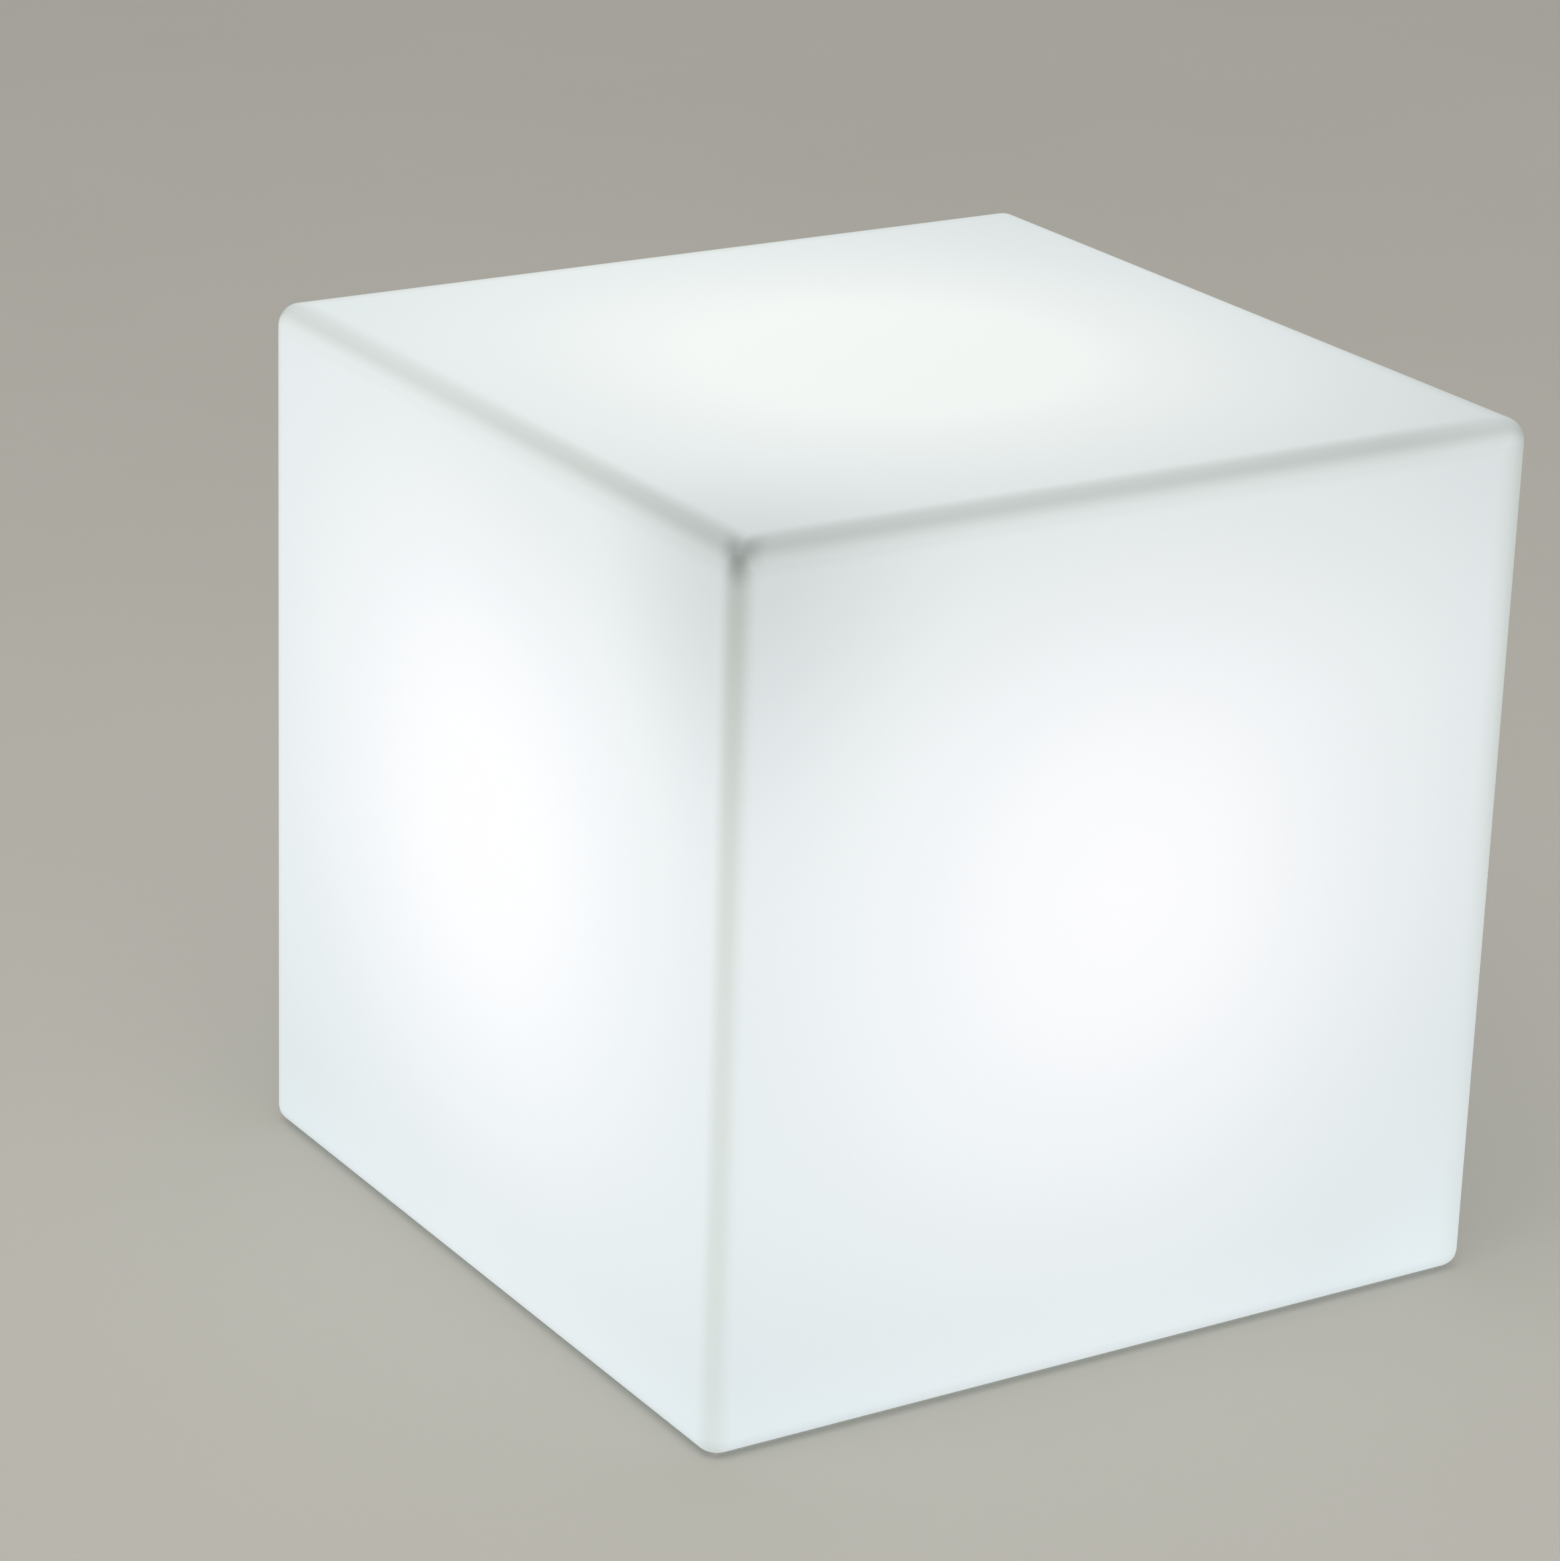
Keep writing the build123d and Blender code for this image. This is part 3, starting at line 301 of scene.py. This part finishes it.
def shell_plastic():
    """Satin plastic with the lamp's light painted in as a glow, brightest in front of the lamp, and
    painted shade along its edges on the glow and the base colour alike.
    """
    finish = Finish("milky_shell", specular_ior_level=0.18, emission_strength=1.0)
    x, y, z = finish.sides()
    level = z - cube_middle_z
    upper = level.over(0.0)
    wide = abs(x).greatest(abs(y))
    off_upright = wide - abs(x).least(abs(y))
    # past_rim counts inwards on the top and the underside, and is negative on the sides
    past_rim = abs(level) - wide
    topward = past_rim.rise(-11 * MM, 2 * MM) * upper
    downward = past_rim.rise(0.0, 9 * MM) * (1 - upper)
    from_corner = length(x - SHADED_CORNER.x, y - SHADED_CORNER.y, CORNER_DROOP * (z - SHADED_CORNER.z))

    # painted shade along the edges and round the upper corners, taken off both the base colour and the
    # glow
    painted_edge_shade = upright_painted_shade(x, y, z, off_upright, past_rim).greatest(upper_edge_painted_shade(x, y, past_rim, upper))
    shade = 1 - painted_edge_shade - corner_painted_shade(off_upright, past_rim, upper, from_corner)

    # 1 in front of the lamp and about a third in the middle of an edge, as the light spreads and slants
    reach = length(x, y, z - lamp_z)
    lit = (wide.greatest(abs(level)) * half_width**2 / reach**3).least(1.0)
    # the painted glow: on the sides, half as bright on the underside, and on the top
    glow = side_glow(x, y, z, lit) * (1 - topward) * (1 - 0.5 * downward) + top_glow(x, y, lit) * topward
    uneven = 0.02 * (finish.noise(CLOUD_SIZE, detail=1.0) - 0.5)
    # painted shade on the glow round the front left top corner
    painted_corner_dimming = (0.11 - 0.05 * topward) * from_corner.fall(0.0, CORNER_REACH)
    glow = (glow + uneven - painted_corner_dimming) * shade

    # the tint of the painted glow, and the base colour that the painted shade along the edges turns
    # greener
    far_tint = finish.between(z.rise(0.0, shell_high.z), FOOT_TINT, HEAD_TINT)
    side_tint = finish.between(lit, far_tint, LAMP_TINT)
    top_tint = finish.between(lit, TOP_TINT, TOP_LAMP_TINT)
    in_painted_edge_shade = (painted_edge_shade * 4.0).least(1.0)
    tint = finish.between(in_painted_edge_shade, finish.between(topward, side_tint, top_tint), SHADED_EDGE_TINT)
    base = finish.between(in_painted_edge_shade, MILKY_WHITE, SHADED_EDGE_WHITE)

    fine = finish.noise(FINE_GRAIN, detail=2.0)
    peel = finish.noise(PEEL_SIZE, detail=1.0)
    # the painted shade darkens the base colour, and the painted glow is the emission colour
    finish.wears(
        base_color=finish.dimmed(base, shade),
        emission_color=finish.dimmed(tint, glow.least(MOST_GLOW).greatest(0.0)),
        roughness=0.40 + 0.08 * fine,
    )
    finish.relief(0.006 * fine + 0.03 * peel)
    return finish.material


# ---- Moulded plastics ----
SPARK_GRAIN = 0.45 * MM
FLOW_MARKS = 24 * MM


def moulded(name, colour, flow_colour, roughness, grain=0.02):
    """Plastic with a spark-eroded grain, and flow marks that drift towards a second colour."""
    finish = Finish(name)
    flow = finish.noise(FLOW_MARKS, detail=2.0, stretch=(1.0, 2.5, 1.0))
    pits = finish.noise(SPARK_GRAIN, detail=3.0)
    finish.wears(
        base_color=finish.between(flow.rise(0.3, 0.75), colour, flow_colour),
        roughness=roughness + 0.12 * pits,
    )
    finish.relief(grain * pits)
    return finish.material


def base_plastic():
    return moulded("plate_plastic", (0.70, 0.71, 0.71), (0.65, 0.66, 0.66), roughness=0.42)


def housing_plastic():
    return moulded("housing_plastic", (0.62, 0.64, 0.65), (0.57, 0.59, 0.61), roughness=0.45)


def bracket_plastic():
    return moulded("bracket_plastic", (0.050, 0.050, 0.055), (0.035, 0.035, 0.04), roughness=0.50)


def socket_plastic():
    return moulded("socket_plastic", (0.030, 0.030, 0.032), (0.022, 0.022, 0.024), roughness=0.32)


def switch_plastic():
    return moulded("switch_plastic", (0.050, 0.050, 0.055), (0.036, 0.036, 0.04), roughness=0.34)


def button_plastic():
    return moulded("button_plastic", (0.44, 0.46, 0.47), (0.40, 0.42, 0.43), roughness=0.30, grain=0.008)


# ---- Rubbers ----
RUBBER_GRAIN = 0.7 * MM
DUST_SPECKS = 1.5 * MM
PORE_SIZE = 0.8 * MM


def rubber(name, colour, dusty, dust_to, roughness):
    """Matt rubber, paler and dustier from the floor up to a height."""
    finish = Finish(name, specular_ior_level=0.3)
    _, _, z = finish.sides()
    grain = finish.noise(RUBBER_GRAIN, detail=4.0)
    dust = z.fall(0.0, dust_to) * (0.3 + 0.7 * finish.noise(DUST_SPECKS, detail=4.0))
    finish.wears(base_color=finish.between(dust, colour, dusty), roughness=roughness + 0.15 * grain)
    finish.relief(0.03 * grain)
    return finish.material


def foot_rubber():
    black = (0.048, 0.048, 0.050)
    dusty = (0.095, 0.092, 0.087)
    return rubber("foot_rubber", black, dusty, dust_to=2.5 * MM, roughness=0.62)


def stopper_rubber():
    grey = (0.20, 0.205, 0.21)
    dusty = (0.27, 0.27, 0.265)
    return rubber("stopper_rubber", grey, dusty, dust_to=27 * MM, roughness=0.55)


def gasket_rubber():
    """Foamed rubber with fine, open pores."""
    finish = Finish("gasket_rubber", specular_ior_level=0.25)
    pores = finish.cells(PORE_SIZE)
    finish.wears(
        base_color=finish.between(pores.rise(0.2, 0.6), (0.020, 0.020, 0.022), (0.045, 0.045, 0.047)),
        roughness=0.75 + 0.15 * pores,
    )
    finish.relief(0.04 * pores)
    return finish.material


# ---- Metals ----
LINE_WIDTH = 0.3 * MM
TARNISH_PATCH = 4 * MM
# how many times longer the lines run along x, y and z
TURNED = (6.0, 6.0, 1.0)
DRAWN = (1.0, 1.0, 6.0)
COILED = (2.0, 2.0, 1.0)
ROLLED = (8.0, 1.0, 1.0)
EXTRUDED = (1.0, 1.0, 60.0)


def metal(name, colour, tarnish, roughness, lines_run):
    """Metal with fine lines along one direction and a slight tarnish."""
    finish = Finish(name, metallic=1.0)
    lines = finish.noise(LINE_WIDTH, detail=2.0, stretch=lines_run)
    cloud = finish.noise(TARNISH_PATCH, detail=3.0)
    finish.wears(
        base_color=finish.between(cloud.rise(0.4, 0.8), colour, tarnish),
        roughness=roughness + 0.18 * lines,
    )
    finish.relief(0.006 * lines)
    return finish.material


def screw_steel():
    return metal("screw_steel", (0.58, 0.58, 0.57), (0.46, 0.46, 0.45), 0.30, TURNED)


def insert_brass():
    return metal("insert_brass", (0.72, 0.52, 0.22), (0.56, 0.38, 0.16), 0.26, TURNED)


def contact_brass():
    return metal("contact_brass", (0.78, 0.64, 0.34), (0.66, 0.52, 0.26), 0.18, DRAWN)


def nut_steel():
    return metal("nut_steel", (0.64, 0.64, 0.63), (0.52, 0.52, 0.51), 0.26, TURNED)


def spring_steel():
    return metal("spring_steel", (0.52, 0.52, 0.53), (0.40, 0.40, 0.42), 0.25, COILED)


def nickel():
    return metal("nickel_strip", (0.66, 0.64, 0.60), (0.56, 0.54, 0.50), 0.28, ROLLED)


def column_aluminium():
    return metal("extruded_aluminium", (0.74, 0.75, 0.76), (0.66, 0.67, 0.69), 0.34, EXTRUDED)


# ---- Battery, strap and leads ----
BARE_END = 0.1 * MM
FILM_FROM = 0.4 * MM
FILM_RIPPLE = 3 * MM
WEAVE_PITCH = 1.1 * MM
SLEEVE_SHADES = 2 * MM


def cell_sleeve():
    """Blue shrink film round each cell, and the bare steel of its two ends."""
    finish = Finish("cell_sleeve", coat_weight=0.3, coat_roughness=0.2)
    low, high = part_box("battery_cells")
    _, _, z = finish.sides()
    lower_end = z.fall(low.z + BARE_END, low.z + FILM_FROM)
    upper_end = z.rise(high.z - FILM_FROM, high.z - BARE_END)
    bare = lower_end + upper_end
    ripple = finish.noise(FILM_RIPPLE, detail=2.0, stretch=(1.0, 1.0, 3.0))
    finish.wears(
        base_color=finish.between(bare, (0.02, 0.13, 0.30), (0.62, 0.61, 0.58)),
        metallic=bare,
        roughness=0.28 + 0.12 * ripple,
    )
    finish.relief(0.05 * ripple)
    return finish.material


def strap_webbing():
    """A plain weave: ribs up the strap, crossed by finer ones."""
    finish = Finish("strap_webbing", specular_ior_level=0.2)
    x, y, z = finish.sides()
    pick = 2 * pi / WEAVE_PITCH
    warp = (z * pick).sine()
    weft = ((x + y) * (pick * 0.8)).sine()
    weave = 0.5 + 0.25 * warp + 0.25 * weft
    finish.wears(
        base_color=finish.between(weave, (0.018, 0.018, 0.020), (0.060, 0.060, 0.064)),
        roughness=0.80 + 0.1 * weave,
    )
    finish.relief(0.12 * weave)
    return finish.material


def lead_sleeve():
    """Soft insulation: one lead of each pair is red, and the other is black."""
    finish = Finish("lead_sleeve", specular_ior_level=0.4)
    x, y, z = finish.sides()
    charge = middle_of("charge_leads")
    switch = middle_of("switch_leads")
    battery = middle_of("battery_leads")
    by_charge = 1 - x.over(charge.x / 2)
    by_switch = x.over(switch.x / 2)
    by_battery = (1 - by_charge) * (1 - by_switch) * (1 - z.over(board_low.z))
    pair_x = charge.x * by_charge + switch.x * by_switch
    black = x.over(pair_x) * (1 - by_battery) + (1 - y.over(battery.y)) * by_battery
    soft = finish.noise(SLEEVE_SHADES, detail=2.0)
    red = finish.between(soft, (0.42, 0.025, 0.022), (0.36, 0.018, 0.018))
    finish.wears(
        base_color=finish.between(black, red, (0.018, 0.018, 0.020)),
        roughness=0.36 + 0.1 * soft,
    )
    finish.relief(0.01 * soft)
    return finish.material


# ---- Boards and lamp ----
SOFT_EDGE = 0.1 * MM

TRACK_PITCH = 2.6 * MM
TRACK_FROM = 0.45
TRACK_PATCH = 9 * MM
BARE_RIM = 0.1 * MM

PLUG_Y = -12 * MM
PLUG_HALF_LENGTH = 6.2 * MM
PLUG_HALF_DEPTH = 3.2 * MM
CAN_TOP = 0.4 * MM

COLUMN_SIDES = 6
FIRST_SIDE = pi / 6
RAIL_OFFSET = 4.7 * MM
RAIL_HALF_WIDTH = 0.5 * MM
LEDS_A_STRIP = 5
TOP_LEDS = 3
TOP_LED_CIRCLE = 9 * MM
WINDOW_RADIUS = 1.85 * MM
PACKAGE_FROM = 2.0 * MM
BOARD_GRAIN = 1.2 * MM
PHOSPHOR_GRAIN = 0.5 * MM
FROST_GRAIN = 0.6 * MM
# how far over the dome's top the painted glow on the dome has faded out
DARK_OVER_DOME = 10 * MM


def board_laminate():
    """Green solder mask over copper tracks, and the bare laminate of the rim."""
    finish = Finish("board_laminate", coat_weight=0.4, coat_roughness=0.15)
    x, y, _ = finish.sides()
    pitch = 2 * pi / TRACK_PITCH
    lengthwise = finish.noise(TRACK_PATCH, detail=0.0).over(0.5)
    along_x = (y * pitch).sine().over(TRACK_FROM) * lengthwise
    along_y = (x * pitch).sine().over(TRACK_FROM) * (1 - lengthwise)
    rim = length(x, y).over(board_high.x - BARE_RIM)
    track = (along_x + along_y) * (1 - rim)
    mask = finish.between(track, (0.012, 0.11, 0.045), (0.035, 0.20, 0.09))
    finish.wears(
        base_color=finish.between(rim, mask, (0.30, 0.27, 0.12)),
        roughness=0.32 + 0.05 * track,
    )
    finish.relief(0.03 * track)
    return finish.material


def component_plastic():
    """Black packages and coils, the bright tops of the tall capacitors, and ivory plug housings."""
    finish = Finish("component_plastic")
    _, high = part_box("board_components")
    x, y, z = finish.sides()
    can_top = z.over(high.z - CAN_TOP)
    in_length = abs(x).fall(PLUG_HALF_LENGTH, PLUG_HALF_LENGTH + SOFT_EDGE)
    in_depth = abs(y - PLUG_Y).fall(PLUG_HALF_DEPTH, PLUG_HALF_DEPTH + SOFT_EDGE)
    below_board = 1 - z.over(board_low.z)
    ivory = (in_length * in_depth + below_board).least(1.0)
    pits = finish.noise(SPARK_GRAIN, detail=3.0)
    black_body = finish.between(pits, (0.050, 0.050, 0.055), (0.030, 0.030, 0.034))
    ivory_body = finish.between(pits, (0.66, 0.63, 0.54), (0.60, 0.57, 0.48))
    body = finish.between(ivory, black_body, ivory_body)
    finish.wears(
        base_color=finish.between(can_top, body, (0.62, 0.62, 0.63)),
        metallic=can_top,
        roughness=0.34 + 0.12 * pits,
    )
    finish.relief(0.02 * pits)
    return finish.material


def led_board_white():
    """White solder mask over the two copper rails of each strip."""
    finish = Finish("led_board_white", coat_weight=0.3, coat_roughness=0.2)
    out, angle = finish.spokes(COLUMN_SIDES, first=FIRST_SIDE)
    off_rail = abs(abs(out * angle.sine()) - RAIL_OFFSET)
    rail = off_rail.fall(RAIL_HALF_WIDTH, RAIL_HALF_WIDTH + SOFT_EDGE)
    grain = finish.noise(BOARD_GRAIN, detail=3.0)
    white = finish.between(grain, (0.80, 0.80, 0.78), (0.74, 0.74, 0.71))
    finish.wears(
        base_color=finish.between(rail, white, (0.66, 0.64, 0.58)),
        roughness=0.34 + 0.1 * grain,
    )
    finish.relief(0.01 * grain + 0.035 * rail)
    return finish.material


def emitter():
    """White packages, each with a round yellow window that gives the light."""
    finish = Finish("emitter", emission_strength=1.0)
    strip_low, strip_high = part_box("led_boards")
    _, _, z = finish.sides()
    step = (strip_high.z - strip_low.z) / LEDS_A_STRIP
    up = (z - strip_low.z) % step - step / 2
    out, angle = finish.spokes(COLUMN_SIDES, first=FIRST_SIDE)
    on_side = length(out * angle.sine(), up)
    out, angle = finish.spokes(TOP_LEDS, first=FIRST_SIDE)
    on_top = length(out * angle.cosine() - TOP_LED_CIRCLE, out * angle.sine())
    top = z.over(column_high.z)
    from_middle = on_side * (1 - top) + on_top * top
    window = from_middle.fall(WINDOW_RADIUS, PACKAGE_FROM)
    grain = finish.noise(PHOSPHOR_GRAIN, detail=2.0)
    phosphor = finish.between(grain, (0.62, 0.46, 0.12), (0.54, 0.38, 0.09))
    finish.wears(
        base_color=finish.between(window, (0.72, 0.72, 0.70), phosphor),
        emission_color=finish.dimmed((1.0, 0.94, 0.80), 0.06 + 0.42 * window),
        roughness=0.30 + 0.1 * grain,
    )
    finish.relief(0.05 - 0.05 * window)
    return finish.material


def dome_plastic():
    """Frosted plastic with the lamp's light painted in as a glow, brightest round the LEDs and fading
    above the column.
    """
    finish = Finish("frosted_dome", emission_strength=1.0)
    _, _, z = finish.sides()
    frost = finish.noise(FROST_GRAIN, detail=3.0)
    bright = z.rise(dome_low.z, lamp_z) * z.fall(column_high.z, dome_high.z + DARK_OVER_DOME)
    finish.wears(
        base_color=finish.between(frost, (0.60, 0.62, 0.62), (0.55, 0.57, 0.58)),
        emission_color=finish.dimmed((0.98, 1.0, 1.0), 0.08 + 0.30 * bright),
        roughness=0.55 + 0.1 * frost,
    )
    finish.relief(0.01 * frost)
    return finish.material


# ---- Each material slot of the frame gets its finish ----
FINISHES = {
    "shell_plastic": shell_plastic,
    "base_plastic": base_plastic,
    "housing_plastic": housing_plastic,
    "gasket_rubber": gasket_rubber,
    "foot_rubber": foot_rubber,
    "stopper_rubber": stopper_rubber,
    "screw_steel": screw_steel,
    "insert_brass": insert_brass,
    "cell_sleeve": cell_sleeve,
    "bracket_plastic": bracket_plastic,
    "nickel": nickel,
    "strap_webbing": strap_webbing,
    "lead_sleeve": lead_sleeve,
    "board_laminate": board_laminate,
    "component_plastic": component_plastic,
    "column_aluminium": column_aluminium,
    "led_board_white": led_board_white,
    "emitter": emitter,
    "dome_plastic": dome_plastic,
    "socket_plastic": socket_plastic,
    "contact_brass": contact_brass,
    "nut_steel": nut_steel,
    "switch_plastic": switch_plastic,
    "button_plastic": button_plastic,
    "spring_steel": spring_steel,
}
finishes = {slot: make() for slot, make in FINISHES.items()}
for part in frame["record"]["subparts"]:
    frame["nodes"][part["node"]].material_slots[0].material = finishes[part["material_slot"]]


# ---- Pieces of the scene ----
def add_to_scene(name, data):
    made = bpy.data.objects.new(name, data)
    bpy.context.scene.collection.objects.link(made)
    return made


def add_piece(name, shape, material):
    """Makes a piece of a modelled shape, with its object at the origin."""
    mesh = bpy.data.meshes.new(name)
    shape.to_mesh(mesh)
    shape.free()
    mesh.materials.append(material)
    return add_to_scene(name, mesh)


# ---- The spring inside the switch ----
WIRE_RADIUS = 0.3 * MM
WIRE_SIDES = 8
COIL_TURNS = 4
STEPS_A_TURN = 32


def button_coil():
    """A coil of wire in the spring's place."""
    low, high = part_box("button_spring")
    middle = (low + high) / 2
    coil_radius = high.x - middle.x - WIRE_RADIUS
    start = Vector((middle.x + coil_radius, middle.y, low.z + WIRE_RADIUS))
    upright = Matrix.Translation(start) @ Matrix.Rotation(pi / 2, 4, "X")
    steps = COIL_TURNS * STEPS_A_TURN
    climb = (high.z - low.z - 2 * WIRE_RADIUS) / steps
    coil = bmesh.new()
    bmesh.ops.create_circle(coil, segments=WIRE_SIDES, radius=WIRE_RADIUS, matrix=upright)
    bmesh.ops.spin(
        coil,
        geom=coil.verts[:] + coil.edges[:],
        cent=middle,
        axis=(0.0, 0.0, 1.0),
        dvec=(0.0, 0.0, climb),
        angle=2 * pi * COIL_TURNS,
        steps=steps,
    )
    bmesh.ops.holes_fill(coil, edges=[edge for edge in coil.edges if edge.is_boundary])
    bmesh.ops.recalc_face_normals(coil, faces=coil.faces)
    # the wire is smooth all along, and its two cut ends are flat
    for face in coil.faces:
        face.smooth = len(face.verts) == 4
    piece = add_piece("button_coil", coil, finishes["spring_steel"])
    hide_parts("button_spring")
    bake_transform(piece)


# ---- Floor, light and camera ----
FLOOR_REACH = 14.0
FLOOR_CLOUDS = 0.5
CLEAR_WITHIN = half_width - 14 * MM
SOLID_FROM = half_width - 5 * MM

STUDIO_WHITE = (1.0, 1.0, 1.0, 1.0)
STUDIO_STRENGTH = 0.7
BACKGROUND = (0.52, 0.505, 0.455, 1.0)

CAMERA_PLACE = Vector((-1.342, -2.022, 1.120))
CAMERA_AIM = Vector((-0.0368, 0.0238, 0.2167))
CAMERA_ROLL = radians(1.94)
CAMERA_LENS = 123.4


def pale_floor():
    """A matt floor that is seen from above only, and lets light through to the underside of the cube."""
    finish = Finish("pale_floor", specular_ior_level=0.2, roughness=0.7)
    x, y, _ = finish.sides()
    tone = finish.noise(FLOOR_CLOUDS, detail=3.0)
    finish.wears(base_color=finish.between(tone, (0.47, 0.455, 0.405), (0.50, 0.485, 0.435)))
    under_cube = abs(x).greatest(abs(y)).fall(CLEAR_WITHIN, SOLID_FROM)
    seen_from_below = finish.node("NewGeometry", outputs=("Backfacing",))
    surface = Term(finish, finish.shader.outputs[0])
    clear = finish.node("BsdfTransparent")
    gone = under_cube.greatest(seen_from_below)
    mixed = finish.node("MixShader", sockets={0: gone, 1: surface, 2: clear})
    finish.feed(finish.nodes["Material Output"].inputs["Surface"], mixed)
    return finish.material


def floor():
    plane = bmesh.new()
    bmesh.ops.create_grid(plane, x_segments=1, y_segments=1, size=FLOOR_REACH)
    piece = add_piece("floor", plane, pale_floor())


def soft_lamp(name, place, aim, size, watts):
    lamp = bpy.data.lights.new(name, "AREA")
    lamp.shape = "DISK"
    lamp.size = size
    lamp.energy = watts
    holder = add_to_scene(name, lamp)
    holder.location = place
    holder.rotation_euler = (Vector(aim) - Vector(place)).to_track_quat("-Z", "Y").to_euler()


def studio_world():
    """Even, pale light from all round, and the floor's tone behind the object and in what mirrors it."""
    world = bpy.data.worlds.new("studio")
    bpy.context.scene.world = world
    sky = Tree(world)
    light = sky.nodes["Background"]
    sky.feed(light.inputs["Color"], STUDIO_WHITE)
    sky.feed(light.inputs["Strength"], STUDIO_STRENGTH)
    behind = sky.node("Background", sockets={"Color": BACKGROUND, "Strength": 1.0})
    rays = ("Is Camera Ray", "Is Glossy Ray", "Is Transmission Ray")
    straight, mirrored, through = sky.node("LightPath", outputs=rays)
    seen = straight.greatest(mirrored).greatest(through)
    mixed = sky.node("MixShader", sockets={0: seen, 1: Term(sky, light.outputs[0]), 2: behind})
    sky.feed(sky.nodes["World Output"].inputs["Surface"], mixed)


def camera():
    """Stands where the photograph was taken from, a little turned about its own axis."""
    data = bpy.data.cameras.new("camera")
    data.lens = CAMERA_LENS
    holder = add_to_scene("camera", data)
    level = (CAMERA_AIM - CAMERA_PLACE).to_track_quat("-Z", "Y").to_matrix()
    turn = level @ Matrix.Rotation(CAMERA_ROLL, 3, "Z")
    holder.matrix_world = Matrix.Translation(CAMERA_PLACE) @ turn.to_4x4()
    bpy.context.scene.camera = holder


button_coil()
floor()
studio_world()
soft_lamp("overhead", place=(-1.0, -0.8, 2.6), aim=(0.0, 0.0, 0.2), size=2.4, watts=25.0)
soft_lamp("under", place=(-0.2, -0.3, -0.9), aim=(0.0, 0.0, 0.0), size=0.9, watts=2.5)
camera()
bpy.context.scene.view_settings.view_transform = "Standard"
